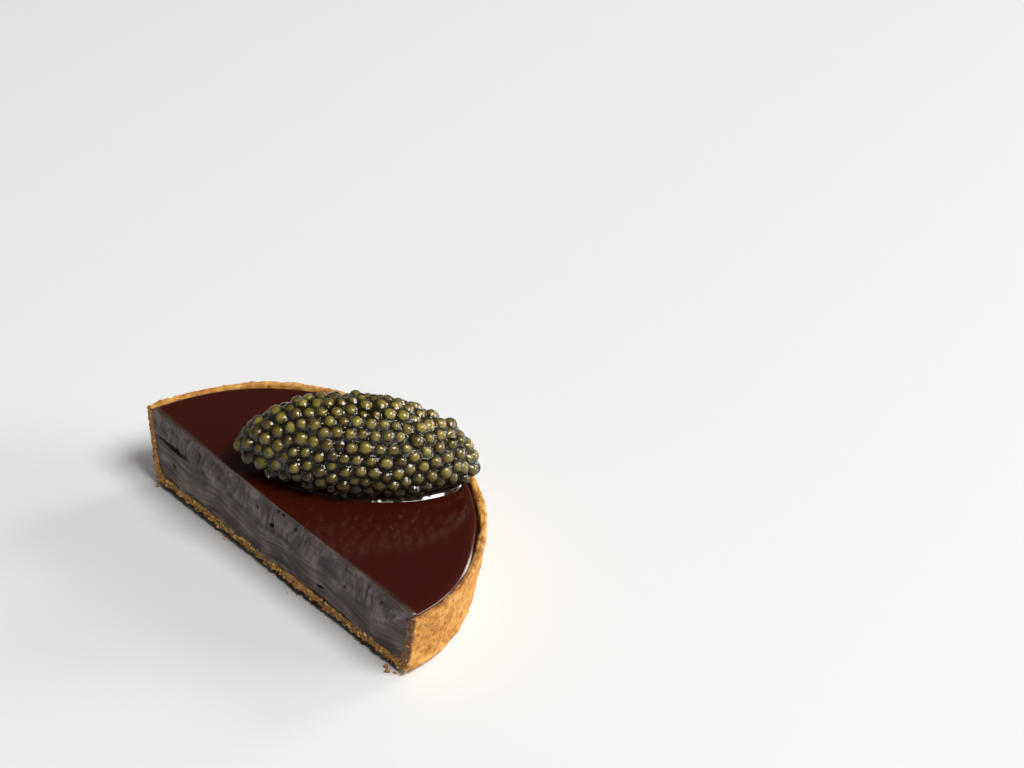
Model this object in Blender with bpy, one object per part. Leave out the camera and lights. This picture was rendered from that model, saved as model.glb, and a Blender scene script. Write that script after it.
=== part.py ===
"""Half of a small chocolate tart: a shortcrust shell, a ganache filling and a quenelle of caviar.

The whole tart was cut in two through its middle, so the cut runs along X and the round side faces +Y.
Metres, +Z up. The origin is under the middle of the half tart, on the surface that it stands on.
"""

import math

import bmesh
import bpy

# Crust, as a whole round tart shell
RIM_RADIUS = 0.0404
FOOT_RADIUS = 0.0393
FOOT_ROUND = 0.0021
FOOT_SHIFT = 0.0004  # the foot sits this far to +X of the rim: the wall leans out on its -X side
BASE_THICKNESS = 0.0025
RIM_THICKNESS = 0.0016
FOOT_THICKNESS = 0.0032
INNER_FILLET = 0.0030
MIDDLE_HEIGHT = 0.0162
LEFT_HEIGHT = 0.0178  # at the -X end of the cut
RIGHT_HEIGHT = 0.0146  # at the +X end of the cut

# Unevenness of the hand-pressed shell
RADIUS_WAVES = ((6, 0.0040), (10, 0.0022))  # waves in a full turn, share of the radius
RIM_RISE = 0.0005
RIM_RISE_AT = math.radians(140)
RIM_RISE_SPREAD = math.radians(24)

# Filling
GAP = 0.0003
FILLING_RISE = 0.0002  # the ganache stands this far over the rim
EDGE_ROUND = 0.0009

# Quenelle
QUENELLE_LENGTH = 0.0468
QUENELLE_WIDTH = 0.0206
QUENELLE_HEIGHT = 0.0178
QUENELLE_BELLY = 0.0050  # height of its widest line over the ganache
QUENELLE_X = 0.0016
QUENELLE_Y = 0.0187  # from the cut face
QUENELLE_TURN = math.radians(48)
QUENELLE_POINT = 1.8  # 2 is an ellipsoid's end, less is more pointed
EGG_WAVES = ((17, 7, 0.00030), (11, 9, 0.00022), (5, 4, 0.00020))  # along, around, depth

TURN_STEPS = 60
ROUND_STEPS = 5
QUENELLE_RINGS = 40
QUENELLE_SIDES = 40

CUT_Y = -RIM_RADIUS / 2

CRUST_COLOUR = (0.60, 0.33, 0.11, 1)
GANACHE_COLOUR = (0.045, 0.014, 0.008, 1)
CAVIAR_COLOUR = (0.19, 0.17, 0.045, 1)


def clear_scene():
    for old in list(bpy.data.objects):
        bpy.data.objects.remove(old, do_unlink=True)


def principled(name, colour, roughness):
    material = bpy.data.materials.new(name)
    material.use_nodes = True
    shader = material.node_tree.nodes["Principled BSDF"]
    shader.inputs["Base Color"].default_value = colour
    shader.inputs["Roughness"].default_value = roughness
    shader.inputs["Metallic"].default_value = 0.0
    return material


def arc(centre, radius, start, end, steps):
    """Points (r, z) on an arc of a profile, its angles in degrees from +r towards +z."""
    angles = [math.radians(start + (end - start) * i / steps) for i in range(steps + 1)]
    return [(centre[0] + radius * math.cos(a), centre[1] + radius * math.sin(a)) for a in angles]


def local_height(x):
    """The shell is taller at its -X end."""
    return MIDDLE_HEIGHT + (RIGHT_HEIGHT - LEFT_HEIGHT) * x / (2 * RIM_RADIUS)


def rim_rise(angle):
    """How far the rim stands up above its even line, along one stretch of the back."""
    off = (angle - RIM_RISE_AT) / RIM_RISE_SPREAD
    return RIM_RISE * math.exp(-off * off)


def crust_profile():
    """Half section of the shell, from the axis along its underside, up the wall and back inside."""
    wall_top = MIDDLE_HEIGHT - RIM_THICKNESS / 2
    inner_foot = FOOT_RADIUS - FOOT_THICKNESS
    fillet_centre = (inner_foot - INNER_FILLET, BASE_THICKNESS + INNER_FILLET)
    points = [(0, 0)]
    points += arc((FOOT_RADIUS - FOOT_ROUND, FOOT_ROUND), FOOT_ROUND, -90, 0, ROUND_STEPS)
    points += arc((RIM_RADIUS - RIM_THICKNESS / 2, wall_top), RIM_THICKNESS / 2, 0, 180, ROUND_STEPS + 1)
    points += arc(fillet_centre, INNER_FILLET, 0, -90, ROUND_STEPS)
    points.append((0, BASE_THICKNESS))
    return points


def filling_profile():
    """Half section of the ganache, which keeps a small gap to the shell and has a rounded upper edge."""
    bottom = BASE_THICKNESS + GAP
    top = MIDDLE_HEIGHT + FILLING_RISE
    inner_foot = FOOT_RADIUS - FOOT_THICKNESS
    inner_rim = RIM_RADIUS - RIM_THICKNESS - GAP
    fillet_centre = (inner_foot - INNER_FILLET, BASE_THICKNESS + INNER_FILLET)
    points = [(0, bottom)]
    points += arc(fillet_centre, INNER_FILLET - GAP, -90, 0, ROUND_STEPS)
    points += arc((inner_rim - EDGE_ROUND, top - EDGE_ROUND), EDGE_ROUND, 0, 90, ROUND_STEPS)
    points.append((0, top))
    return points


def turned_half(profile):
    """A closed half-turn of the profile about Z, from +X round through +Y to -X."""
    mesh = bmesh.new()
    face = mesh.faces.new([mesh.verts.new((r, 0, z)) for r, z in profile])
    bmesh.ops.spin(
        mesh,
        geom=[face, *face.edges, *face.verts],
        cent=(0, 0, 0),
        axis=(0, 0, 1),
        angle=math.pi,
        steps=TURN_STEPS,
    )
    bmesh.ops.remove_doubles(mesh, verts=mesh.verts, dist=1e-6)
    bmesh.ops.recalc_face_normals(mesh, faces=mesh.faces)
    return mesh


def press_by_hand(mesh, with_rim):
    """Gives an even half-turn the uneven radius, height and lean of the real shell."""
    for vert in mesh.verts:
        x, y, z = vert.co
        angle = math.atan2(y, x)
        share = z / MIDDLE_HEIGHT
        swell = 1 + sum(depth * math.sin(waves * angle) for waves, depth in RADIUS_WAVES)
        height = local_height(x)
        if with_rim and share > 0.5:
            height += rim_rise(angle)
        vert.co.x = x * swell + FOOT_SHIFT * (1 - share)
        vert.co.y = y * swell + CUT_Y
        vert.co.z = share * height


def add_piece(name, mesh, material, collection):
    data = bpy.data.meshes.new(name)
    mesh.to_mesh(data)
    mesh.free()
    data.materials.append(material)
    data.shade_smooth()
    data.set_sharp_from_angle(angle=math.radians(40))
    piece = bpy.data.objects.new(name, data)
    collection.objects.link(piece)
    return piece


def make_crust(collection):
    mesh = turned_half(crust_profile())
    press_by_hand(mesh, with_rim=True)
    add_piece("pastry_crust", mesh, principled("crust", CRUST_COLOUR, 0.75), collection)


def make_filling(collection):
    mesh = turned_half(filling_profile())
    press_by_hand(mesh, with_rim=False)
    add_piece("ganache_filling", mesh, principled("ganache", GANACHE_COLOUR, 0.12), collection)


def egg_relief(along, around):
    """Low bumps of the packed eggs over the quenelle's even outline."""
    return sum(
        depth * math.sin(a * math.pi * along) * math.sin(b * around) for a, b, depth in EGG_WAVES
    )


def make_quenelle(collection):
    """A sphere with its poles along its length, drawn out to a quenelle that lies flat on the ganache."""
    mesh = bmesh.new()
    bmesh.ops.create_uvsphere(mesh, u_segments=QUENELLE_SIDES, v_segments=QUENELLE_RINGS, radius=1)
    cos_turn, sin_turn = math.cos(QUENELLE_TURN), math.sin(QUENELLE_TURN)
    for vert in mesh.verts:
        side, up, along = vert.co
        around = math.atan2(up, side)
        girth = math.sqrt(max(1 - abs(along) ** QUENELLE_POINT, 0))
        relief = egg_relief(along, around) * girth
        width = QUENELLE_WIDTH / 2 * girth + relief
        depth = (QUENELLE_HEIGHT - QUENELLE_BELLY if up > 0 else QUENELLE_BELLY * 1.15) * girth + relief
        forward = QUENELLE_LENGTH / 2 * along
        across = width * math.cos(around)
        rise = depth * math.sin(around)
        x = QUENELLE_X + forward * cos_turn - across * sin_turn
        y = QUENELLE_Y + forward * sin_turn + across * cos_turn
        floor = local_height(x) * (1 + FILLING_RISE / MIDDLE_HEIGHT) + GAP
        vert.co = (x, y + CUT_Y, max(floor, floor - GAP + QUENELLE_BELLY + rise))
    add_piece("caviar_quenelle", mesh, principled("caviar", CAVIAR_COLOUR, 0.2), collection)


def main():
    clear_scene()
    collection = bpy.data.collections.new("chocolate_tart")
    bpy.context.scene.collection.children.link(collection)
    make_crust(collection)
    make_filling(collection)
    make_quenelle(collection)


main()
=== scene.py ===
"""Looks of half a small chocolate tart: crumbly shortcrust shell, glossy ganache and a quenelle of caviar.

Metres, +Z up, in the CAD frame: the cut face looks along -Y and the round side along +Y.
"""

import math

import bmesh
import bpy
import numpy as np
from mathutils import Matrix, Vector
from mathutils.bvhtree import BVHTree


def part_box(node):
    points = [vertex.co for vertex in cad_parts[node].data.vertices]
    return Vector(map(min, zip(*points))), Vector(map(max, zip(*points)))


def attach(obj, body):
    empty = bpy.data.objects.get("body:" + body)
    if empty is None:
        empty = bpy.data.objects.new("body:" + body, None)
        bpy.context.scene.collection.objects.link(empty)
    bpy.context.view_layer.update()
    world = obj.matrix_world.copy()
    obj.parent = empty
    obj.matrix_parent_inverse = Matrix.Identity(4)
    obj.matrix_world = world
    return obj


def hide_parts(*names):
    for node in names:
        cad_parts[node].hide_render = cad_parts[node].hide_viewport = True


MM = 0.001

# Camera: where it stands round the tart, and the point on the floor that it looks at
CAMERA_AZIMUTH = math.radians(44.6)
CAMERA_ELEVATION = math.radians(33.8)
CAMERA_ROLL = math.radians(4.8)
CAMERA_DISTANCE = 603 * MM
CAMERA_AIM = Vector((-20.8, 61.8, 0)) * MM
CAMERA_LENS = 98.4

# Crust section
RIM_THICKNESS = 1.6 * MM
FOOT_THICKNESS = 1.9 * MM
BASE_THICKNESS = 2.5 * MM
FOOT_ROUND = 2.4 * MM
FOOT_DRAFT = 1.9 * MM  # how far the wall leans in from rim to foot
LEAN = 0.9 * MM  # the foot sits this far to +X of the rim
INNER_FILLET = 1.8 * MM
WALL_DEPTH = 3.5 * MM  # what lies this near the outer wall moves with its inside
WAVE_DEPTH = 0.20 * MM
SAND_DEPTH = 0.19 * MM
DENT_DEPTH = 0.6 * MM
CRUST_LENGTH_CELLS = 184
CRUST_THICKNESS_CELLS = 8
CRUST_TURN_STEPS = 230
LIFT_LEFT = 1.0 * MM  # the underside stands off the floor along the cut, more at its -X end
LIFT_RIGHT = 0.5 * MM
RAISE_LEFT = 0.4 * MM  # and the base bulges upward there
RAISE_RIGHT = 0.3 * MM
LIFT_DEPTH = 5.0 * MM
CRUMB_COUNT = 420
CRUMB_SIZE = 0.17 * MM
LARGEST_CRUMB = 0.45 * MM
WALL_CRUMB_SHARE = 0.04  # of the crumbs, on the cut wall instead of the cut base
SPECK_COUNT = 14  # specks on the floor beside the cut
SPECK_SIZE = 0.10 * MM
LARGEST_SPECK = 0.3 * MM
# Larger crumbs on the floor: place along the cut, place from the cut and size, in mm
FALLEN_CRUMBS = ((35.9, -1.9, 0.50), (34.6, -1.2, 0.34), (37.0, -0.9, 0.30), (-36.5, -0.6, 0.42))
UNDERSIDE_PAINTED_SHADOW = 1.3  # painted shadow on the underside near the cut: over 1, so that it is dark in every mottle

# Ganache section
GANACHE_EDGE_ROUND = 2.0 * MM
GANACHE_CELLS_OUT = 200
GANACHE_CELLS_UP = 84
GANACHE_TURN_STEPS = 96

# Marks in the cut ganache: place along the cut, depth below the top, half length, half height and
# depth into the face, in mm, and slope in degrees
PITS = (
    (-31.9, 10.1, 0.42, 0.46, 0.7, 0),
    (-24.0, 2.8, 0.18, 1.10, 0.5, 12),
    (-22.8, 6.2, 0.30, 0.45, 0.4, 20),
    (-5.6, 3.8, 0.25, 0.45, 0.5, -30),
    (-1.5, 5.6, 0.45, 0.40, 0.8, -20),
    (0.6, 0.9, 0.35, 0.30, 0.5, 0),
    (2.2, 0.8, 0.50, 0.30, 0.5, -15),
    (5.6, 2.2, 0.35, 0.45, 0.4, 35),
    (13.6, 10.6, 0.90, 0.30, 0.8, -12),
    (20.5, 6.0, 0.25, 0.30, 0.4, 0),
    (31.0, 3.2, 0.25, 0.30, 0.4, 0),
)
GOUGE_START, GOUGE_END = (-39.0, 5.8), (-27.0, 6.2)  # along the cut and below the top, in mm
GOUGE_HALF_HEIGHT = 0.60 * MM
GOUGE_DEPTH = 0.7 * MM

# Caviar
EGG_RADIUS = 1.44 * MM
EGG_SPREAD = 0.11 * MM
EGG_COUNT = 330
EGG_SEED = 7
PACKING_STEPS = 160
YOLK_SHARE = 0.62  # of the egg's radius
BELLY = 5.0 * MM  # height of the quenelle's widest line over the ganache
CAD_UNDERCUT = 5.75 * MM  # half height of the ellipse under that line, in the CAD solid
UNDERCUT = 7.4 * MM  # and in the finished caviar, which settles more
FILM_SIDES = 270
FILM_RINGS = 230
FILM_LEVEL = -0.75 * MM  # the film's surface between eggs, from the even outline
FILM_SOFTNESS = 0.13 * MM
BALL_EDGE = 0.85  # outside this share of an egg's radius its film falls off as a straight slope
BALL_EDGE_HEIGHT = 0.527
BALL_EDGE_SLOPE = 1.61
CORE_DEPTH = 1.7 * MM  # the dark core starts this far under the even outline
BRINE_LEVEL = 1.2 * MM  # the brine's outline is the caviar's at this height
BRINE_STEPS = 240
# Section of the brine's rim from its foot inwards: mm outside the outline, mm over the ganache
BRINE_PROFILE = (
    (-0.55, -0.20),
    (-0.60, 0.00),
    (-0.72, 0.09),
    (-0.88, 0.22),
    (-1.06, 0.37),
    (-1.25, 0.54),
    (-1.45, 0.73),
    (-3.00, 0.73),
    (-3.00, -0.20),
)


# ---------------------------------------------------------------- small helpers


def smooth(low, high, x):
    """0 below low, 1 above high, and a smooth step between, for numbers and arrays."""
    t = np.clip((x - low) / (high - low), 0, 1)
    return t * t * (3 - 2 * t)


def deselect_all():
    for other in bpy.context.selected_objects:
        other.select_set(False)


def pick(piece):
    deselect_all()
    piece.select_set(True)
    bpy.context.view_layer.objects.active = piece


def points_of(piece):
    found = np.empty(len(piece.data.vertices) * 3)
    piece.data.vertices.foreach_get("co", found)
    return found.reshape(-1, 3)


def normals_of(piece):
    found = np.empty(len(piece.data.vertices) * 3)
    piece.data.vertex_normals.foreach_get("vector", found)
    return found.reshape(-1, 3)


def set_points(piece, points):
    piece.data.vertices.foreach_set("co", np.asarray(points, np.float32).ravel())
    piece.data.update()


def set_attribute(piece, name, values):
    layer = piece.data.attributes.get(name) or piece.data.attributes.new(name, "FLOAT", "POINT")
    layer.data.foreach_set("value", np.asarray(values, np.float32))


def noise_at(points, size, seed=0):
    """Smooth noise, about -1 to 1, at each point: size is the width of its lumps in metres."""
    rng = np.random.default_rng(seed)
    order = rng.permutation(256)
    slopes = rng.normal(size=(256, 3))
    spots = np.asarray(points) / size
    cell = np.floor(spots).astype(int)
    part = spots - cell
    fade = part**3 * (part * (part * 6 - 15) + 10)
    total = np.zeros(len(spots))
    for corner in np.ndindex(2, 2, 2):
        at = cell + corner
        pick_slope = order[(order[(order[at[:, 0] & 255] + at[:, 1]) & 255] + at[:, 2]) & 255]
        weight = np.prod(np.where(corner, fade, 1 - fade), axis=1)
        total += weight * np.einsum("ij,ij->i", slopes[pick_slope], part - corner)
    return total


def turbulence_at(points, size, octaves=3, seed=0):
    return sum(noise_at(points, size / 2**i, seed + i) / 2**i for i in range(octaves))


# ---------------------------------------------------------------- the tart's sizes, read from the frame


class Tart:
    """Sizes of the half tart as the CAD solids have them."""

    def __init__(self):
        crust_low, crust_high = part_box("pastry_crust")
        filling = points_of(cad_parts["ganache_filling"])
        self.rim_radius = (crust_high.x - crust_low.x) / 2
        self.cut_y = crust_low.y
        ends = filling[:, 0] / self.rim_radius
        self.left_height = filling[ends < -0.8, 2].max()
        self.right_height = filling[ends > 0.8, 2].max() + 0.1 * MM
        self.middle_height = (self.left_height + self.right_height) / 2

    def top(self, x):
        """Height of the ganache's surface at x."""
        return self.middle_height + (self.right_height - self.left_height) * x / (2 * self.rim_radius)

    def swell(self, angle):
        """The shell's outline is not a true circle: share of the radius at an angle from +X."""
        flare = smooth(math.radians(140), math.radians(180), angle)
        return 1 + 0.0040 * np.sin(6 * angle) + 0.0022 * np.sin(10 * angle) + 0.014 * flare


# ---------------------------------------------------------------- shader writing


class Value:
    """Wraps a node socket, so that shader maths reads as an expression."""

    def __init__(self, finish, socket):
        self.finish = finish
        self.socket = socket

    def _maths(self, operation, *others):
        return self.finish.maths(operation, self, *others)

    def __add__(self, other):
        return self._maths("ADD", other)

    def __mul__(self, other):
        return self._maths("MULTIPLY", other)

    def __sub__(self, other):
        return self._maths("SUBTRACT", other)

    def __rsub__(self, other):
        return self.finish.maths("SUBTRACT", other, self)

    __radd__ = __add__
    __rmul__ = __mul__

    def step(self, low, high):
        """0 below low, 1 above high, smooth between. A low above high turns it round."""
        node = self.finish.node(
            "ShaderNodeMapRange",
            {"interpolation_type": "SMOOTHSTEP"},
            {"From Min": low, "From Max": high},
            Value=self,
        )
        return Value(self.finish, node.outputs[0])


class Finish:
    """A procedural material of one Principled shader."""

    def __init__(self, name):
        self.material = bpy.data.materials.new(name)
        self.material.use_nodes = True
        self.nodes = self.material.node_tree.nodes
        self.links = self.material.node_tree.links
        self.shader = self.nodes["Principled BSDF"]
        self.place = self.node("ShaderNodeTexCoord").outputs["Object"]

    def node(self, kind, settings=None, more=None, **sockets):
        """Adds a node: its settings first, then the values or links of its sockets."""
        made = self.nodes.new(kind)
        for key, value in (settings or {}).items():
            setattr(made, key, value)
        for key, value in {**(more or {}), **sockets}.items():
            self.feed(made.inputs[key], value)
        return made

    def feed(self, socket, value):
        if isinstance(value, Value):
            value = value.socket
        if isinstance(value, bpy.types.NodeSocket):
            self.links.new(value, socket)
        else:
            socket.default_value = value

    def maths(self, operation, *values):
        node = self.node("ShaderNodeMath", {"operation": operation})
        for socket, value in zip(node.inputs, values):
            self.feed(socket, value)
        return Value(self, node.outputs[0])

    def stretched(self, scale, turn=(0, 0, 0)):
        """The piece's own coordinates, scaled and turned."""
        node = self.node("ShaderNodeMapping", Vector=self.place, Scale=scale, Rotation=turn)
        return node.outputs[0]

    def noise(self, size, detail=3.0, rough=0.55, where=None, distortion=0.0):
        """Soft noise whose lumps are about this size, 0 to 1."""
        node = self.node(
            "ShaderNodeTexNoise",
            Vector=where or self.place,
            Scale=1 / size,
            Detail=detail,
            Roughness=rough,
            Distortion=distortion,
        )
        return Value(self, node.outputs["Fac"])

    def cells(self, size):
        """Distance to the nearest cell point, in cells of this size."""
        node = self.node("ShaderNodeTexVoronoi", Vector=self.place, Scale=1 / size)
        return Value(self, node.outputs["Distance"])

    def attribute(self, name):
        node = self.node("ShaderNodeAttribute", {"attribute_name": name})
        return Value(self, node.outputs["Fac"])

    def axes(self):
        node = self.node("ShaderNodeSeparateXYZ", Vector=self.place)
        return [Value(self, output) for output in node.outputs]

    def mix(self, share, first, second):
        """Colour from first at share 0 to second at share 1."""
        node = self.node("ShaderNodeMix", {"data_type": "RGBA"})
        self.feed(node.inputs[0], share)
        self.feed(node.inputs[6], first)
        self.feed(node.inputs[7], second)
        return node.outputs[2]

    def ramp(self, share, *stops):
        """Colour ramp of (place, colour) stops."""
        node = self.node("ShaderNodeValToRGB", Fac=share)
        points = node.color_ramp.elements
        while len(points) < len(stops):
            points.new(0.5)
        for point, (place, colour) in zip(points, stops):
            point.position = place
            point.color = colour
        return node.outputs["Color"]

    def bump(self, height, depth):
        """A bump whose height runs over this depth in metres."""
        node = self.node("ShaderNodeBump", Height=height, Strength=1.0, Distance=depth)
        return node.outputs["Normal"]

    def set(self, more=None, **sockets):
        for key, value in {**(more or {}), **sockets}.items():
            self.feed(self.shader.inputs[key.replace("_", " ")], value)


def rgb(red, green, blue):
    """A colour given as it is seen, 0 to 255, turned into the linear numbers a shader takes."""
    shares = [c / 255 for c in (red, green, blue)]
    return (*[c / 12.92 if c <= 0.04045 else ((c + 0.055) / 1.055) ** 2.4 for c in shares], 1)


# ---------------------------------------------------------------- turned pieces with a solid section


def section_grid(name, cells_along, cells_across, place):
    """A grid in the XZ plane whose points (u, v), both 0 to 1, go to place(u, v) = (radius, height)."""
    deselect_all()
    bpy.ops.mesh.primitive_grid_add(x_subdivisions=cells_along, y_subdivisions=cells_across, size=1)
    piece = bpy.context.object
    piece.name = piece.data.name = name
    flat = points_of(piece)
    set_points(piece, [(*place(u, v),) for u, v in flat[:, :2] + 0.5])
    return piece


def turn_section(piece, steps):
    """Spins the section half round, from +X through +Y to -X, and closes the axis."""
    pick(piece)
    bpy.ops.object.mode_set(mode="EDIT")
    bpy.ops.mesh.select_all(action="SELECT")
    bpy.ops.mesh.spin(steps=steps, angle=-math.pi, center=(0, 0, 0), axis=(0, 0, 1))
    bpy.ops.mesh.select_all(action="SELECT")
    bpy.ops.mesh.remove_doubles(threshold=0.01 * MM)
    bpy.ops.mesh.dissolve_degenerate(threshold=0.001 * MM)
    bpy.ops.mesh.select_all(action="SELECT")
    bpy.ops.mesh.normals_make_consistent(inside=False)
    bpy.ops.object.mode_set(mode="OBJECT")
    piece.data.shade_smooth()


def along_path(path, share):
    """Point at a share of a polyline's length."""
    path = np.asarray(path)
    steps = np.hypot(*np.diff(path, axis=0).T)
    at = np.concatenate([[0], np.cumsum(steps)])
    return np.array([np.interp(share * at[-1], at, path[:, axis]) for axis in (0, 1)])


def arc_points(centre, radius, start, end, count=8):
    angles = np.radians(np.linspace(start, end, count))
    return [(centre[0] + radius * math.cos(a), centre[1] + radius * math.sin(a)) for a in angles]


# ---------------------------------------------------------------- crust


def rim_fall(angle):
    """How far the rim stands below the ganache, by angle from +X: the ganache runs over it near both
    ends of the cut, and the rim stands proud at the back."""
    over_right = 1 - smooth(math.radians(26), math.radians(40), angle)
    over_left = smooth(math.radians(152), math.radians(166), angle)
    proud = np.exp(-(((angle - math.radians(138)) / math.radians(15)) ** 2))
    return (0.9 * over_right + 0.2 * over_left - 0.55 * proud + 0.1) * MM


def crust_section():
    """The wall and base of the shell as paths along its outside and its inside."""
    height = tart.middle_height
    foot = tart.rim_radius - FOOT_DRAFT
    outer = [(0, 0)]
    outer += arc_points((foot - FOOT_ROUND, FOOT_ROUND), FOOT_ROUND, -90, 0)
    half = RIM_THICKNESS / 2
    outer += arc_points((tart.rim_radius - half, height - half), half, 0, 60, 5)
    inner_foot = foot - FOOT_THICKNESS
    inner = [(0, BASE_THICKNESS)]
    inner += arc_points((inner_foot - INNER_FILLET, BASE_THICKNESS + INNER_FILLET), INNER_FILLET, -90, 0)
    inner += arc_points((tart.rim_radius - half, height - half), half, 180, 120, 5)
    return outer, inner


def hand_pressed(points, angle, fall):
    """Turns even section heights into the real, sloping ones, and the true circle into the real outline."""
    share = points[:, 2] / tart.middle_height
    swell = tart.swell(angle)
    height = tart.top(points[:, 0]) - fall * smooth(0.35, 1.0, share)
    lean = LEAN * (1 - share)
    return np.stack([points[:, 0] * swell + lean, points[:, 1] * swell + tart.cut_y, share * height], 1)


def thin_wall(points, angle):
    """Moves the wall's inside, and the ganache that follows it, outwards at the back and the -X end."""
    radius = np.hypot(points[:, 0], points[:, 1])
    depth = outer_at(points[:, 2]) - radius
    by_wall = 1 - smooth(WALL_DEPTH, 2 * WALL_DEPTH, depth)
    away = np.clip(depth, 0, None) * (1 - wall_share(angle, points[:, 2])) * by_wall
    thinned = points.copy()
    thinned[:, :2] *= (1 + away / np.maximum(radius, MM))[:, None]
    return thinned


def make_crust():
    outer, inner = crust_section()

    def place(u, v):
        along = 1 - (1 - u) ** 1.25
        low = along_path(outer, along)
        high = along_path(inner, along)
        r, z = low + (high - low) * v
        return r, 0, z

    crust = section_grid("shortcrust_shell", CRUST_LENGTH_CELLS, CRUST_THICKNESS_CELLS, place)
    turn_section(crust, CRUST_TURN_STEPS)
    points = points_of(crust)
    angle = np.arctan2(np.abs(points[:, 1]), points[:, 0])
    on_cut = points[:, 1] < 0.02 * MM
    underside = points[:, 2] < 0.02 * MM
    points = thin_wall(points, angle)
    points = hand_pressed(points, angle, rim_fall(angle))
    set_points(crust, points)
    set_attribute(crust, "cut_face", on_cut)

    # The underside stands off the floor along the cut
    near_cut = 1 - smooth(0, LIFT_DEPTH, points[:, 1] - tart.cut_y)
    lift, raised = cut_lift(points[:, 0])
    lift += noise_at(points, 3 * MM, 31) * 0.2 * MM
    raised += noise_at(points, 2.5 * MM, 32) * 0.3 * MM
    height = points[:, 2]
    on_base = smooth(0.5 * BASE_THICKNESS, BASE_THICKNESS, height)
    on_base *= 1 - smooth(1.3 * BASE_THICKNESS, 2.5 * BASE_THICKNESS, height)
    # Painted shadow: the foot of the cut face is coloured near black for the shadowed gap under the crust
    painted_foot_shadow = np.where(on_cut, 1 - smooth(0.1 * BASE_THICKNESS, 0.45 * BASE_THICKNESS, height), 0)
    points[:, 2] += near_cut * (lift * (1 - smooth(0, BASE_THICKNESS, height)) + raised * on_base)
    set_points(crust, points)

    # Relief: slow hand-made waves, a sandy skin, and a crumbly break at the cut
    normals = normals_of(crust)
    off_floor = smooth(0.0, 0.8 * MM, points[:, 2])
    waves = turbulence_at(points, 6 * MM, 2, 3) * WAVE_DEPTH
    sand = turbulence_at(points, 1.3 * MM, 3, 5) * SAND_DEPTH
    dents = np.clip(turbulence_at(points, 1.7 * MM, 2, 8) - 0.38, 0, 1) * -DENT_DEPTH
    outside = np.where(on_cut, 0.35, 1.0)
    move = normals * ((waves + sand + dents) * outside * off_floor)[:, None]
    crumbs = np.abs(turbulence_at(points, 1.1 * MM, 2, 11)) * 0.75 - 0.12
    crumbs *= 1 - 0.4 * smooth(3 * MM, 5 * MM, points[:, 2])
    move[:, 1] -= np.where(on_cut, crumbs * MM, 0)
    edge = noise_at(points, 1.0 * MM, 17) * 0.25 * MM
    move[:, 2] += np.where(on_cut, edge, 0)
    points = points + move
    points[:, 2] = np.maximum(points[:, 2], 0)
    set_points(crust, points)
    set_attribute(crust, "below_rim", (tart.top(points[:, 0]) - points[:, 2]) / MM)
    set_attribute(crust, "painted_foot_shadow", np.where(underside, UNDERSIDE_PAINTED_SHADOW * near_cut, painted_foot_shadow))
    crust.data.materials.append(crust_finish())
    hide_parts("pastry_crust")
    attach(crust, "root")


def cut_lift(x):
    """How far the base's underside and its upper side stand above their even heights at the cut."""
    share = x / (2 * tart.rim_radius) + 0.5
    return LIFT_LEFT + (LIFT_RIGHT - LIFT_LEFT) * share, RAISE_LEFT + (RAISE_RIGHT - RAISE_LEFT) * share


def crumb_shape():
    """A jagged lump of few faces, as points and faces."""
    deselect_all()
    bpy.ops.mesh.primitive_ico_sphere_add(subdivisions=2, radius=1)
    crumb = bpy.context.object
    points = points_of(crumb)
    points *= 1 + 0.45 * noise_at(points, 0.8, 40)[:, None]
    faces = [tuple(face.vertices) for face in crumb.data.polygons]
    bpy.data.objects.remove(crumb)
    return points, faces


def make_crumbs():
    """Crumbs that cling to the broken shortcrust along the cut, and a few that lie beside it."""
    rng = np.random.default_rng(21)
    places = []
    reach = outer_at(BASE_THICKNESS) - 0.5 * MM
    for _ in range(CRUMB_COUNT):
        x = rng.uniform(-reach, reach) + LEAN
        lift, raised = cut_lift(x)
        z = rng.uniform(lift + 0.2 * MM, BASE_THICKNESS + raised)
        if rng.random() < WALL_CRUMB_SHARE:
            side, inward = rng.choice((-1, 1)), rng.uniform(0.3, 1.1) * MM
            share = rng.uniform(0.1, 0.9)
            x = side * (outer_at(share * tart.middle_height) - inward) + LEAN * (1 - share)
            z = share * tart.top(x)
        size = min(CRUMB_SIZE * rng.lognormal(0, 0.45), LARGEST_CRUMB)
        places.append((x, tart.cut_y - 0.10 * MM, max(z, size), size))
    for _ in range(SPECK_COUNT):
        x = rng.uniform(-0.95, 1.0) * reach + LEAN
        size = min(SPECK_SIZE * rng.lognormal(0, 0.5), LARGEST_SPECK)
        places.append((x, tart.cut_y - rng.exponential(0.6) * MM, size, size))
    for x, y, size in FALLEN_CRUMBS:
        places.append((x * MM, tart.cut_y + y * MM, size * MM, size * MM))
    copies = []
    for x, y, z, size in places:
        turn = np.array(Matrix.Rotation(rng.uniform(0, math.tau), 3, Vector(rng.normal(size=3))))
        squash = np.diag(rng.uniform(0.7, 1.25, 3)) * size
        copies.append((turn @ squash, np.array([x, y, z]), rng.random()))
    crumbs = scatter("pastry_crumbs", crumb_shape(), copies)
    crumbs.data.materials.append(crumb_finish())
    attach(crumbs, "root")


def crumb_finish():
    finish = Finish("shortcrust_crumbs")
    tint = finish.attribute("tint")
    grains = finish.noise(0.3 * MM, 2, 0.6)
    dark, golden, pale = rgb(156, 104, 46), rgb(212, 158, 84), rgb(244, 206, 132)
    colour = finish.ramp(tint, (0.0, dark), (0.5, golden), (1.0, pale))
    colour = finish.mix(grains.step(0.45, 0.7) * 0.4, colour, rgb(246, 214, 150))
    finish.set({"Base Color": colour}, Roughness=0.75, Normal=finish.bump(grains, 0.1 * MM))
    return finish.material


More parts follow.
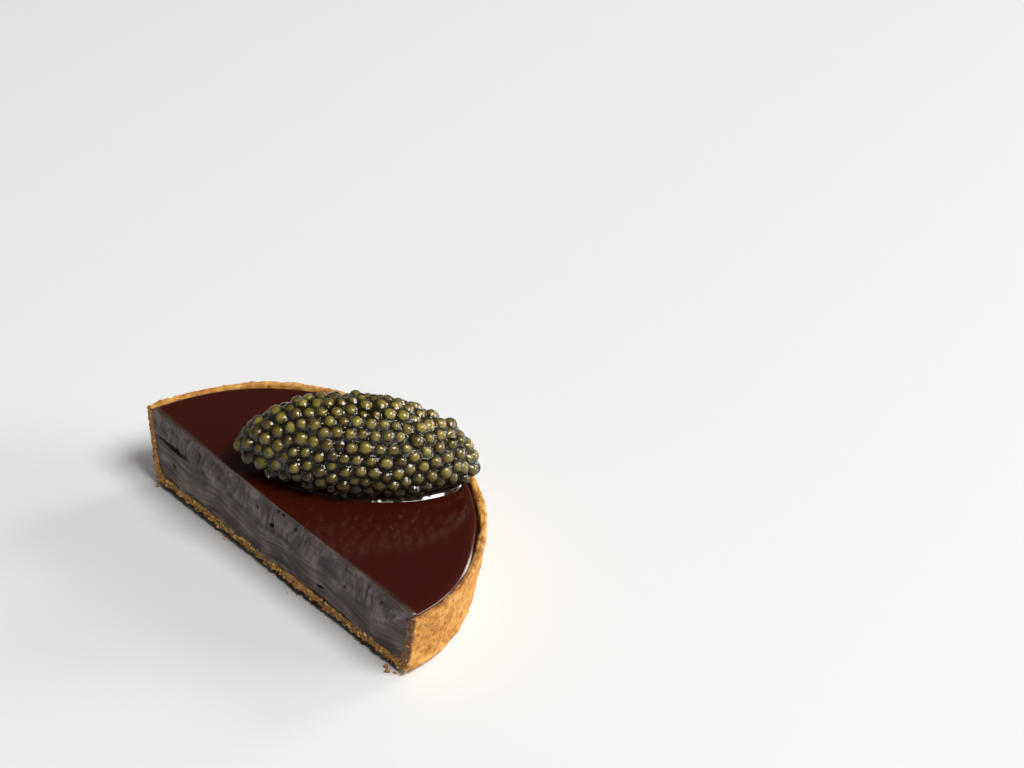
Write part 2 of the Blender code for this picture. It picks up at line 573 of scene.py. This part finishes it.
def crust_finish():
    finish = Finish("baked_shortcrust")
    x, _, z = finish.axes()
    cut = finish.attribute("cut_face")
    below = finish.attribute("below_rim")
    blotches = finish.noise(6 * MM, 3).step(0.42, 0.66)
    mottles = finish.noise(1.9 * MM, 4, 0.6)
    grains = finish.noise(0.35 * MM, 3, 0.65)
    pale, golden, brown = rgb(226, 178, 98), rgb(198, 140, 60), rgb(148, 90, 32)
    skin = finish.ramp(mottles, (0.32, brown), (0.5, golden), (0.70, pale))
    skin = finish.mix(blotches * 0.5, skin, rgb(168, 104, 40))
    skin = finish.mix(grains.step(0.60, 0.75) * 0.45, skin, rgb(236, 190, 118))
    skin = finish.mix(grains.step(0.42, 0.30) * 0.55, skin, rgb(146, 84, 34))
    skin = finish.mix(z.step(2.2 * MM, 0.4 * MM) * 0.45, skin, rgb(150, 88, 38))
    # The ganache has soaked into the shell just under its edge
    soak = (below + mottles * 2.2).step(3.2, 1.4) * x.step(27 * MM, 35 * MM)
    skin = finish.mix(soak * 0.75, skin, rgb(104, 58, 32))
    pale, golden, brown = rgb(236, 194, 124), rgb(200, 150, 84), rgb(156, 106, 54)
    inside = finish.ramp(mottles, (0.3, brown), (0.55, golden), (0.8, pale))
    inside = finish.mix(grains.step(0.45, 0.32) * 0.7, inside, rgb(92, 58, 28))
    smeared = (x + mottles * 2.0 * MM).step(36.5 * MM, 38.0 * MM) * z.step(1.5 * MM, 4 * MM)
    inside = finish.mix(smeared * 0.75, inside, rgb(128, 84, 62))
    # Painted shadow: near black at the foot of the cut face and on the underside near the cut, for the
    # shadowed gap under the crust
    foot_shadow_share = finish.attribute("painted_foot_shadow") + (mottles - 0.5)
    colour = finish.mix(cut, skin, inside)
    colour = finish.mix(foot_shadow_share.step(0.35, 0.8) * 0.95, colour, rgb(30, 17, 8))
    # Pores: pits in the relief, coloured darker brown as painted shade in them
    shaded_pores = finish.cells(1.5 * MM).step(0.27, 0.12)
    colour = finish.mix(shaded_pores * 0.7, colour, rgb(120, 68, 26))
    relief = mottles * 0.5 + grains * 0.5 - shaded_pores * 0.5
    finish.set(
        {
            "Base Color": colour,
            "Subsurface Weight": 0.12,
            "Subsurface Scale": 0.8 * MM,
            "Specular IOR Level": 0.35,
        },
        Roughness=0.72,
        Normal=finish.bump(relief, 0.32 * MM),
    )
    finish.shader.inputs["Subsurface Radius"].default_value = (1.0, 0.55, 0.25)
    return finish.material


# ---------------------------------------------------------------- ganache


def outer_at(z):
    """Radius of the shell's outer wall at a height, before it is made uneven."""
    return tart.rim_radius - FOOT_DRAFT * (1 - z / tart.middle_height)


def wall_share(angle, z):
    """The wall is thinner at the back and at the -X end: its thickness there, as a share of the rest."""
    back = smooth(math.radians(90), math.radians(125), angle)
    left = smooth(math.radians(145), math.radians(172), angle)
    thinned = 0.28 * back + left * (0.30 * (1 - z / tart.middle_height) - 0.24)
    return 1 - thinned * smooth(2.0 * MM, 4.5 * MM, z)


def spill(angle):
    """How far the ganache's upper edge reaches past the shell's inner wall, by angle from +X."""
    over_right = 1 - smooth(math.radians(22), math.radians(42), angle)
    over_left = smooth(math.radians(150), math.radians(168), angle)
    return (1.35 * over_right + 0.5 * over_left + 0.12) * MM


def make_ganache():
    height = tart.middle_height
    bottom = BASE_THICKNESS - 0.3 * MM
    foot = tart.rim_radius - FOOT_DRAFT - FOOT_THICKNESS + 0.3 * MM
    rim = tart.rim_radius - RIM_THICKNESS + 0.1 * MM
    corner = GANACHE_EDGE_ROUND

    def wall(z):
        """Radius of the ganache at a height."""
        r = foot + (rim - foot) * (z - bottom) / (height - bottom)
        low = max(INNER_FILLET - (z - bottom), 0)
        r -= INNER_FILLET - math.sqrt(max(INNER_FILLET**2 - low**2, 0))
        high = max(z - (height - corner), 0)
        return r - corner + math.sqrt(max(corner**2 - high**2, 0))

    def place(u, v):
        z = bottom + (height - bottom) * (0.5 - 0.5 * math.cos(math.pi * v))
        return u * wall(z), 0, z

    ganache = section_grid("ganache", GANACHE_CELLS_OUT, GANACHE_CELLS_UP, place)
    turn_section(ganache, GANACHE_TURN_STEPS)
    points = points_of(ganache)
    angle = np.arctan2(np.abs(points[:, 1]), points[:, 0])
    radius = np.hypot(points[:, 0], points[:, 1])
    on_cut = points[:, 1] < 0.02 * MM
    share = points[:, 2] / height
    reach = spill(angle) * smooth(0.86, 0.97, share) * (radius / rim) ** 12
    points = thin_wall(points, angle)
    points[:, :2] *= (1 + reach / np.maximum(radius, MM))[:, None]
    points = hand_pressed(points, angle, 0)

    # Faint unevenness of the pour
    is_top = share > 0.999
    points[:, 2] += np.where(is_top, noise_at(points, 22 * MM, 2) * 0.08 * MM, 0)

    smears = cut_relief(points)
    # The smear depth also drives painted shade on the cut face: darker where it sinks in
    set_attribute(ganache, "smear_and_painted_shade", np.where(on_cut, smears, 0) / MM)
    points[:, 1] += np.where(on_cut, smears, 0)
    set_points(ganache, points)
    set_attribute(ganache, "cut_face", on_cut)
    # Depth of the bubbles and the gouge, which are coloured near black as painted shade in them
    set_attribute(ganache, "dug", np.where(on_cut, dug_depth(points), 0) / MM)
    ganache.data.materials.append(ganache_finish())
    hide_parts("ganache_filling")
    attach(ganache, "root")


def dug_depth(points):
    """How deep the bubbles and the knife's gouge go into the cut face."""
    along, below = points[:, 0], tart.top(points[:, 0]) - points[:, 2]
    ragged = noise_at(points, 0.5 * MM, 77) * 0.35
    depth = np.zeros(len(points))
    for place, down, half_length, half_height, deep, slope in PITS:
        turn = math.radians(slope)
        across, up = along - place * MM, below - down * MM
        u = (across * math.cos(turn) + up * math.sin(turn)) / (half_length * MM)
        v = (up * math.cos(turn) - across * math.sin(turn)) / (half_height * MM)
        depth = np.maximum(depth, deep * MM * np.clip(1.3 + ragged - np.hypot(u, v), 0, 1))
    start, end = np.array(GOUGE_START) * MM, np.array(GOUGE_END) * MM
    line = end - start
    share = ((along - start[0]) * line[0] + (below - start[1]) * line[1]) / (line @ line)
    middle = start[1] + line[1] * share + 0.2 * MM * np.sin(math.pi * np.clip(share, 0, 1))
    taper = np.sqrt(np.clip(4 * share * (1 - share), 0, 1)) * (0.55 + 0.45 * smooth(0, 0.6, share))
    off = np.abs(below - middle) / np.maximum(GOUGE_HALF_HEIGHT * taper, 0.01 * MM)
    return np.maximum(depth, GOUGE_DEPTH * taper * np.clip(1.2 + 0.5 * ragged - off, 0, 1))


def cut_relief(points):
    """The cut face: long wandering smears below, short drag marks above them, and what is dug into it."""
    along, below = points[:, 0], tart.top(points[:, 0]) - points[:, 2]
    flat = np.stack([along, below, np.zeros(len(points))], 1)
    wander = noise_at(flat, 11 * MM, 21) * 1.6 * MM
    swirl = noise_at(flat, 6 * MM, 22) * 3.0 * MM
    level = below + wander
    long_smears = turbulence_at(np.stack([(along + swirl) / 9, level, level * 0], 1), 1.1 * MM, 2, 24)
    leaning = along + 0.45 * level + wander
    drags = turbulence_at(np.stack([leaning, level / 4, level * 0], 1), 0.9 * MM, 2, 28)
    lumps = noise_at(flat, 4.5 * MM, 33)
    upper = 1 - smooth(4.5 * MM, 9.0 * MM, level)
    edge = smooth(0.1 * MM, 0.8 * MM, below)
    relief = long_smears * 0.26 * (1 - 0.6 * upper) + drags * 0.26 * upper * edge + lumps * 0.25
    return relief * MM + dug_depth(points)


def ganache_finish():
    finish = Finish("dark_ganache")
    cut = finish.attribute("cut_face")
    dug = finish.attribute("dug")
    gloss = rgb(53, 16, 7)
    streaks = finish.noise(0.9 * MM, 4, 0.6, finish.stretched((0.10, 1, 1)), distortion=0.8)
    drag_marks = finish.noise(0.5 * MM, 3, 0.6, finish.stretched((1, 1, 0.22), (0, math.radians(-26), 0)))
    clouds = finish.noise(5 * MM, 3, 0.5, distortion=1.0)
    # Cut face colour: greyish-brown smeared ganache, made paler partly as painted reflection of the pale
    # floor, and darker as painted shade where the smears sink in
    depth = finish.attribute("smear_and_painted_shade") + (streaks - 0.5) * 0.25
    smear_and_painted_shade = finish.ramp(
        depth + 0.5, (0.28, rgb(122, 106, 99)), (0.5, rgb(82, 65, 59)), (0.70, rgb(50, 33, 30))
    )
    smear_and_painted_shade = finish.mix(clouds.step(0.45, 0.7) * 0.55, smear_and_painted_shade, rgb(58, 39, 36))
    smear_and_painted_shade = finish.mix(drag_marks.step(0.52, 0.72) * 0.3, smear_and_painted_shade, rgb(46, 30, 27))
    # Painted shade: near black in the bubbles and the gouge
    smear_and_painted_shade = finish.mix(dug.step(0.04, 0.22) * 0.95, smear_and_painted_shade, rgb(18, 6, 5))
    colour = finish.mix(cut, gloss, smear_and_painted_shade)
    relief = streaks * 0.6 + drag_marks * 0.4
    normal = finish.bump(relief * cut, 0.16 * MM)
    rough = cut * (0.24 + 0.14 * clouds) + 0.12
    finish.set({"Base Color": colour}, Roughness=rough, Normal=normal, IOR=1.45)
    return finish.material


# ---------------------------------------------------------------- caviar


class Quenelle:
    """The caviar's even outline, worked out from its CAD solid, to lay eggs and film on."""

    def __init__(self):
        self.mesh = bmesh.new()
        self.mesh.from_mesh(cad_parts["caviar_quenelle"].data)
        bmesh.ops.remove_doubles(self.mesh, verts=self.mesh.verts, dist=0.001 * MM)
        for _ in range(6):
            bmesh.ops.smooth_vert(
                self.mesh,
                verts=self.mesh.verts,
                factor=0.5,
                use_axis_x=True,
                use_axis_y=True,
                use_axis_z=True,
            )
        low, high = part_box("caviar_quenelle")
        self.middle = (low + high) / 2
        self.floor = tart.top(self.middle.x) + 0.05 * MM
        spots = np.array([vert.co for vert in self.mesh.verts]) - np.array(self.middle)
        _, _, axes = np.linalg.svd(spots[:, :2], full_matrices=False)
        self.along = Vector((*axes[0], 0))
        self.up = Vector((0, 0, 1))
        self.across = self.up.cross(self.along)
        reach = [np.abs(spots @ np.array(axis)).max() for axis in (self.across, self.up, self.along)]
        self.half_width, self.half_height, self.half_length = reach
        self.settle()
        self.mesh.normal_update()
        self.tree = BVHTree.FromBMesh(self.mesh)

    def settle(self):
        """Caviar sinks under its own weight, so it overhangs its foot less than the CAD solid does."""
        for vert in self.mesh.verts:
            below = BELLY - max(vert.co.z - self.floor, 0)
            if below > 0:
                spread = math.sqrt((1 - (below / UNDERCUT) ** 2) / (1 - (below / CAD_UNDERCUT) ** 2))
                vert.co.xy = self.middle.xy + (vert.co.xy - self.middle.xy) * spread


def lay_eggs():
    """Centres, radii and outward directions of eggs packed in a layer just under the outline."""
    rng = np.random.default_rng(EGG_SEED)
    faces = list(quenelle.mesh.faces)
    areas = np.array([face.calc_area() for face in faces])
    chosen = rng.choice(len(faces), EGG_COUNT, p=areas / areas.sum())
    centres = np.array([faces[i].calc_center_median() for i in chosen])
    centres += rng.normal(0, 0.3 * MM, centres.shape)
    radii = np.clip(rng.normal(EGG_RADIUS, EGG_SPREAD, EGG_COUNT), 0.82 * EGG_RADIUS, 1.16 * EGG_RADIUS)
    depth = radii + rng.normal(0, 0.28 * MM, EGG_COUNT) - 0.40 * MM
    outward = np.zeros_like(centres)
    apart = 1 - np.eye(EGG_COUNT)
    for _ in range(PACKING_STEPS):
        gap = centres[:, None] - centres[None]
        distance = np.linalg.norm(gap, axis=2) + np.eye(EGG_COUNT)
        push = np.clip(radii[:, None] + radii[None] - distance, 0, None) * apart
        centres = centres + (gap / distance[:, :, None] * push[:, :, None]).sum(1) * 0.3
        for i, centre in enumerate(centres):
            spot, normal, _, _ = quenelle.tree.find_nearest(Vector(centre))
            outward[i] = normal
            centres[i] = spot - normal * depth[i]
    lowest = quenelle.floor + 0.9 * radii
    keep = (outward[:, 2] > -0.85) & (centres[:, 2] > lowest - 1.2 * MM)
    centres[:, 2] = np.maximum(centres[:, 2], lowest)
    return centres[keep], radii[keep], outward[keep]


def ball_shape(segments, rings):
    """A ball of few faces whose pole points up, slightly flattened, as points and faces."""
    deselect_all()
    bpy.ops.mesh.primitive_uv_sphere_add(segments=segments, ring_count=rings, radius=1)
    ball = bpy.context.object
    bpy.ops.object.mode_set(mode="EDIT")
    bpy.ops.mesh.select_all(action="SELECT")
    bpy.ops.transform.resize(value=(1.0, 1.0, 0.96))
    bpy.ops.object.mode_set(mode="OBJECT")
    points = points_of(ball)
    faces = [tuple(face.vertices) for face in ball.data.polygons]
    bpy.data.objects.remove(ball)
    return points, faces


def scatter(name, shape, places):
    """One mesh of copies of a shape: each place is a 3 x 3 matrix, a centre and a number from 0 to 1."""
    points, faces = shape
    count = len(points)
    moved = [points @ turn.T + centre for turn, centre, _ in places]
    copied = [tuple(i * count + corner for corner in face) for i in range(len(places)) for face in faces]
    data = bpy.data.meshes.new(name)
    data.from_pydata(np.concatenate(moved).tolist(), [], copied)
    data.shade_smooth()
    piece = bpy.data.objects.new(name, data)
    bpy.context.scene.collection.objects.link(piece)
    set_attribute(piece, "tint", np.repeat([tint for _, _, tint in places], count))
    return piece


def add_caviar(piece, material):
    piece.data.materials.append(material)
    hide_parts("caviar_quenelle")
    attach(piece, "root")


def make_eggs(centres, radii, outward):
    rng = np.random.default_rng(EGG_SEED + 1)
    places = []
    for centre, radius, out in zip(centres, radii, outward):
        turn = np.array(Vector(out).to_track_quat("Z", "Y").to_matrix())
        squash = np.diag(1 + rng.normal(0, 0.05, 3)) * radius * YOLK_SHARE * (1 - 0.25 * rng.random() ** 3)
        off_middle = rng.normal(0, 0.04, 3) * radius
        places.append((turn @ squash, centre + off_middle, rng.random()))
    ball = ball_shape(12, 8)
    eggs = scatter("caviar_eggs", ball, places)
    # Painted shade round each egg's sides, where it meets its neighbours: 1 there, 0 at the outward pole
    set_attribute(eggs, "side", np.tile(1 - smooth(-0.1, 0.9, ball[0][:, 2]), len(places)))
    add_caviar(eggs, egg_finish())


def egg_finish():
    finish = Finish("caviar_egg")
    tint = finish.attribute("tint")
    side = finish.attribute("side")
    _, _, z = finish.axes()
    body = finish.ramp(
        tint,
        (0.0, rgb(84, 58, 32)),
        (0.14, rgb(108, 92, 44)),
        (0.55, rgb(138, 122, 60)),
        (1.0, rgb(170, 154, 84)),
    )
    clouds = finish.noise(0.9 * MM, 2)
    colour = finish.mix(clouds.step(0.38, 0.66) * 0.4, body, rgb(92, 80, 44))
    # Painted shade: darker round each egg's sides, where the eggs meet, and darker towards the ganache
    colour = finish.mix(side.step(0.1, 0.95) * 0.9, colour, rgb(40, 33, 15))
    shade = (z - tart.middle_height).step(9 * MM, 0.5 * MM)
    colour = finish.mix(shade * 0.75, colour, rgb(36, 32, 18))
    finish.set(
        {"Base Color": colour, "Subsurface Weight": 0.25, "Subsurface Scale": 0.4 * MM},
        Roughness=0.5,
    )
    return finish.material


def make_film(centres, radii):
    """The clear wet film over and between the eggs."""
    deselect_all()
    bpy.ops.mesh.primitive_uv_sphere_add(segments=FILM_SIDES, ring_count=FILM_RINGS, radius=1)
    film = bpy.context.object
    film.name = film.data.name = "caviar_film"
    axes = np.array([quenelle.across, quenelle.up, quenelle.along])
    sizes = np.array([quenelle.half_width, quenelle.half_height, quenelle.half_length])
    rays = (points_of(film) * sizes) @ axes
    start = quenelle.middle.copy()
    start.z = quenelle.floor + BELLY
    hits = [quenelle.tree.ray_cast(start, Vector(ray))[0] for ray in rays]
    set_points(film, [tuple(hit) for hit in hits])
    pick(film)
    bpy.ops.object.mode_set(mode="EDIT")
    bpy.ops.mesh.select_all(action="SELECT")
    bpy.ops.mesh.vertices_smooth(factor=0.5, repeat=12)
    bpy.ops.object.mode_set(mode="OBJECT")
    base, normals = points_of(film), normals_of(film)

    # Height of the film over the even outline: the eggs' balls and the level between them, blended
    blend = np.full(len(base), math.exp(FILM_LEVEL / FILM_SOFTNESS))
    for centre, radius in zip(centres, radii):
        near = np.flatnonzero(np.linalg.norm(base - centre, axis=1) < 2.2 * radius)
        gap = centre - base[near]
        rise = np.einsum("ij,ij->i", gap, normals[near])
        off = np.sqrt(np.clip((gap**2).sum(1) - rise**2, 0, None)) / radius
        round_part = np.sqrt(np.clip(1 - off**2, 0, 1))
        ball = np.where(off < BALL_EDGE, round_part, BALL_EDGE_HEIGHT - BALL_EDGE_SLOPE * (off - BALL_EDGE))
        blend[near] += np.exp((rise + ball * radius) / FILM_SOFTNESS)
    height = np.log(blend) * FILM_SOFTNESS
    rise = np.maximum(base[:, 2] - tart.top(base[:, 0]), 0)
    height *= smooth(0.4 * MM, 1.8 * MM, rise) * smooth(-0.97, -0.6, normals[:, 2])
    points = base + normals * height[:, None]
    points[:, 2] = np.maximum(points[:, 2], tart.top(points[:, 0]) + 0.01 * MM)
    set_points(film, points)
    film.data.shade_smooth()
    add_caviar(film, film_finish())


def make_brine():
    """The low wet rim round the caviar's foot, a bevel that leans back at about 40 degrees."""
    angles = np.linspace(0, math.tau, BRINE_STEPS, endpoint=False)
    start = Vector((*quenelle.middle.xy, quenelle.floor + BRINE_LEVEL))
    outline = []
    for angle in angles:
        hit = quenelle.tree.ray_cast(start, Vector((math.cos(angle), math.sin(angle), 0)))[0]
        outline.append(hit.xy)
    outline = np.array(outline)
    for _ in range(30):
        outline = 0.5 * outline + 0.25 * (np.roll(outline, 1, 0) + np.roll(outline, -1, 0))
    ahead = np.roll(outline, -1, 0) - np.roll(outline, 1, 0)
    out = np.stack([ahead[:, 1], -ahead[:, 0]], 1) / np.linalg.norm(ahead, axis=1)[:, None]
    wobble = noise_at(np.column_stack([outline, angles * 0]), 9 * MM, 51)[:, None] * 0.10 * MM
    rings = []
    for reach, rise in BRINE_PROFILE:
        flat = outline + out * (reach * MM + wobble)
        rings.append(np.column_stack([flat, tart.top(flat[:, 0]) + rise * MM]))
    count = len(angles)
    faces = []
    for k in range(len(rings)):
        this, following = k * count, (k + 1) % len(rings) * count
        for i in range(count):
            j = (i + 1) % count
            faces.append((this + i, this + j, following + j, following + i))
    data = bpy.data.meshes.new("caviar_brine")
    data.from_pydata(np.concatenate(rings).tolist(), [], faces)
    data.shade_smooth()
    data.set_sharp_from_angle(angle=math.radians(50))
    brine = bpy.data.objects.new("caviar_brine", data)
    bpy.context.scene.collection.objects.link(brine)
    pick(brine)
    bpy.ops.object.mode_set(mode="EDIT")
    bpy.ops.mesh.select_all(action="SELECT")
    bpy.ops.mesh.normals_make_consistent(inside=False)
    bpy.ops.object.mode_set(mode="OBJECT")
    finish = Finish("brine_rim")
    dregs = finish.noise(1.2 * MM, 2)
    colour = finish.mix(dregs.step(0.35, 0.65), rgb(44, 22, 12), rgb(52, 34, 18))
    finish.set({"Base Color": colour, "Coat Weight": 1.0, "Coat Roughness": 0.06}, Roughness=0.08, IOR=1.45)
    add_caviar(brine, finish.material)


def film_finish():
    """Clear wet film. Light falls through it on the eggs."""
    finish = Finish("caviar_film")
    _, _, z = finish.axes()
    height = z - tart.middle_height
    # Painted shade: the film darkens towards the ganache, and so do the eggs seen through it
    colour = finish.mix(height.step(6.0 * MM, 0.5 * MM), rgb(208, 205, 172), rgb(64, 66, 48))
    finish.set({"Base Color": colour, "Transmission Weight": 1.0}, Roughness=0.02, IOR=1.46)
    clear = finish.node("ShaderNodeBsdfTransparent", Color=rgb(192, 192, 164))
    lamp_ray = finish.node("ShaderNodeLightPath").outputs["Is Shadow Ray"]
    both = finish.node("ShaderNodeMixShader", Fac=lamp_ray)
    finish.links.new(finish.shader.outputs[0], both.inputs[1])
    finish.links.new(clear.outputs[0], both.inputs[2])
    finish.links.new(both.outputs[0], finish.nodes["Material Output"].inputs["Surface"])
    return finish.material


def make_core():
    """The mass of eggs behind the outer layer, coloured near black: painted shade between the outer eggs.
    """
    data = bpy.data.meshes.new("caviar_core")
    quenelle.mesh.to_mesh(data)
    core = bpy.data.objects.new("caviar_core", data)
    bpy.context.scene.collection.objects.link(core)
    pick(core)
    bpy.ops.object.mode_set(mode="EDIT")
    bpy.ops.mesh.select_all(action="SELECT")
    bpy.ops.transform.shrink_fatten(value=-CORE_DEPTH)
    bpy.ops.object.mode_set(mode="OBJECT")
    points = points_of(core)
    low = points[:, 2] < quenelle.floor + 2.0 * MM
    points[low, 2] = np.maximum(tart.top(points[low, 0]) + 0.05 * MM, points[low, 2] - 1.6 * MM)
    set_points(core, points)
    core.data.shade_smooth()
    finish = Finish("caviar_core_painted_shade")
    lumps = finish.cells(2.4 * MM)
    # Painted shade: near black between the outer eggs
    colour = finish.mix(lumps.step(0.1, 0.6), rgb(50, 48, 26), rgb(12, 12, 8))
    finish.set({"Base Color": colour}, Roughness=0.3, Normal=finish.bump(1 - lumps, 0.8 * MM))
    add_caviar(core, finish.material)


# ---------------------------------------------------------------- floor, light and camera


def make_floor():
    deselect_all()
    bpy.ops.mesh.primitive_plane_add(size=6, location=(0, 0, 0))
    floor = bpy.context.object
    floor.name = "floor"
    finish = Finish("pale_floor")
    finish.set({"Base Color": rgb(224, 226, 227)}, Roughness=0.5)
    floor.data.materials.append(finish.material)


def direction(azimuth, elevation):
    """Unit vector from the tart towards a place: azimuth in degrees, as a camera's round it, 0 at -Y."""
    a, e = math.radians(azimuth), math.radians(elevation)
    return Vector((math.sin(a) * math.cos(e), -math.cos(a) * math.cos(e), math.sin(e)))


def add_light(name, azimuth, elevation, distance, size, power, colour=(1, 1, 1)):
    lamp = bpy.data.lights.new(name, "AREA")
    lamp.shape = "RECTANGLE"
    lamp.size, lamp.size_y = size
    lamp.energy = power
    lamp.color = colour
    holder = bpy.data.objects.new(name, lamp)
    bpy.context.scene.collection.objects.link(holder)
    towards = direction(azimuth, elevation)
    holder.location = towards * distance
    holder.rotation_euler = towards.to_track_quat("Z", "Y").to_euler()


def make_lights():
    view = math.degrees(CAMERA_AZIMUTH)
    add_light("main_window", view + 54, 58, 2.4, (1.30, 0.90), 62.0, (1.0, 0.985, 0.96))
    add_light("low_window", view + 90, 15, 3.0, (1.50, 1.00), 40.0, (1.0, 0.97, 0.92))
    add_light("side_wall", view + 112, 22, 3.2, (3.20, 1.10), 24.0, (1.0, 0.95, 0.87))
    add_light("back_window", view + 130, 20, 2.5, (0.60, 1.00), 17.0)
    world = bpy.data.worlds.new("room")
    bpy.context.scene.world = world
    world.use_nodes = True
    nodes, links = world.node_tree.nodes, world.node_tree.links
    place = nodes.new("ShaderNodeTexCoord")
    height = nodes.new("ShaderNodeSeparateXYZ")
    ramp = nodes.new("ShaderNodeValToRGB")
    links.new(place.outputs["Generated"], height.inputs[0])
    links.new(height.outputs["Z"], ramp.inputs["Fac"])
    links.new(ramp.outputs["Color"], nodes["Background"].inputs["Color"])
    ramp.color_ramp.elements[0].position = 0.10
    ramp.color_ramp.elements[0].color = (0.32, 0.325, 0.33, 1)
    ramp.color_ramp.elements[1].position = 0.36
    ramp.color_ramp.elements[1].color = (0.06, 0.06, 0.065, 1)


def make_camera():
    camera = bpy.data.cameras.new("camera")
    camera.lens = CAMERA_LENS
    camera.sensor_width = 36
    holder = bpy.data.objects.new("camera", camera)
    bpy.context.scene.collection.objects.link(holder)
    towards = direction(math.degrees(CAMERA_AZIMUTH), math.degrees(CAMERA_ELEVATION))
    holder.location = CAMERA_AIM + towards * CAMERA_DISTANCE
    look = towards.to_track_quat("Z", "Y").to_matrix().to_4x4()
    holder.rotation_euler = (look @ Matrix.Rotation(CAMERA_ROLL, 4, "Z")).to_euler()
    bpy.context.scene.camera = holder


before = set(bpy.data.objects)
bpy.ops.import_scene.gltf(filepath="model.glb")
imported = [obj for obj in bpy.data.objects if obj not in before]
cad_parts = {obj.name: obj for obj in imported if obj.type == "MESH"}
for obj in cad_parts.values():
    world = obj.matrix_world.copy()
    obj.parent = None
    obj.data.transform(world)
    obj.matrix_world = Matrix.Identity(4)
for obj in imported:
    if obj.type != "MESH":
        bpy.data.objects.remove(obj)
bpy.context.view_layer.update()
tart = Tart()
bpy.context.scene.view_settings.view_transform = "Standard"
make_camera()
make_lights()
make_floor()
make_crust()
make_crumbs()
make_ganache()
quenelle = Quenelle()
egg_centres, egg_radii, egg_outward = lay_eggs()
make_core()
make_eggs(egg_centres, egg_radii, egg_outward)
make_film(egg_centres, egg_radii)
make_brine()

bpy.context.view_layer.update()
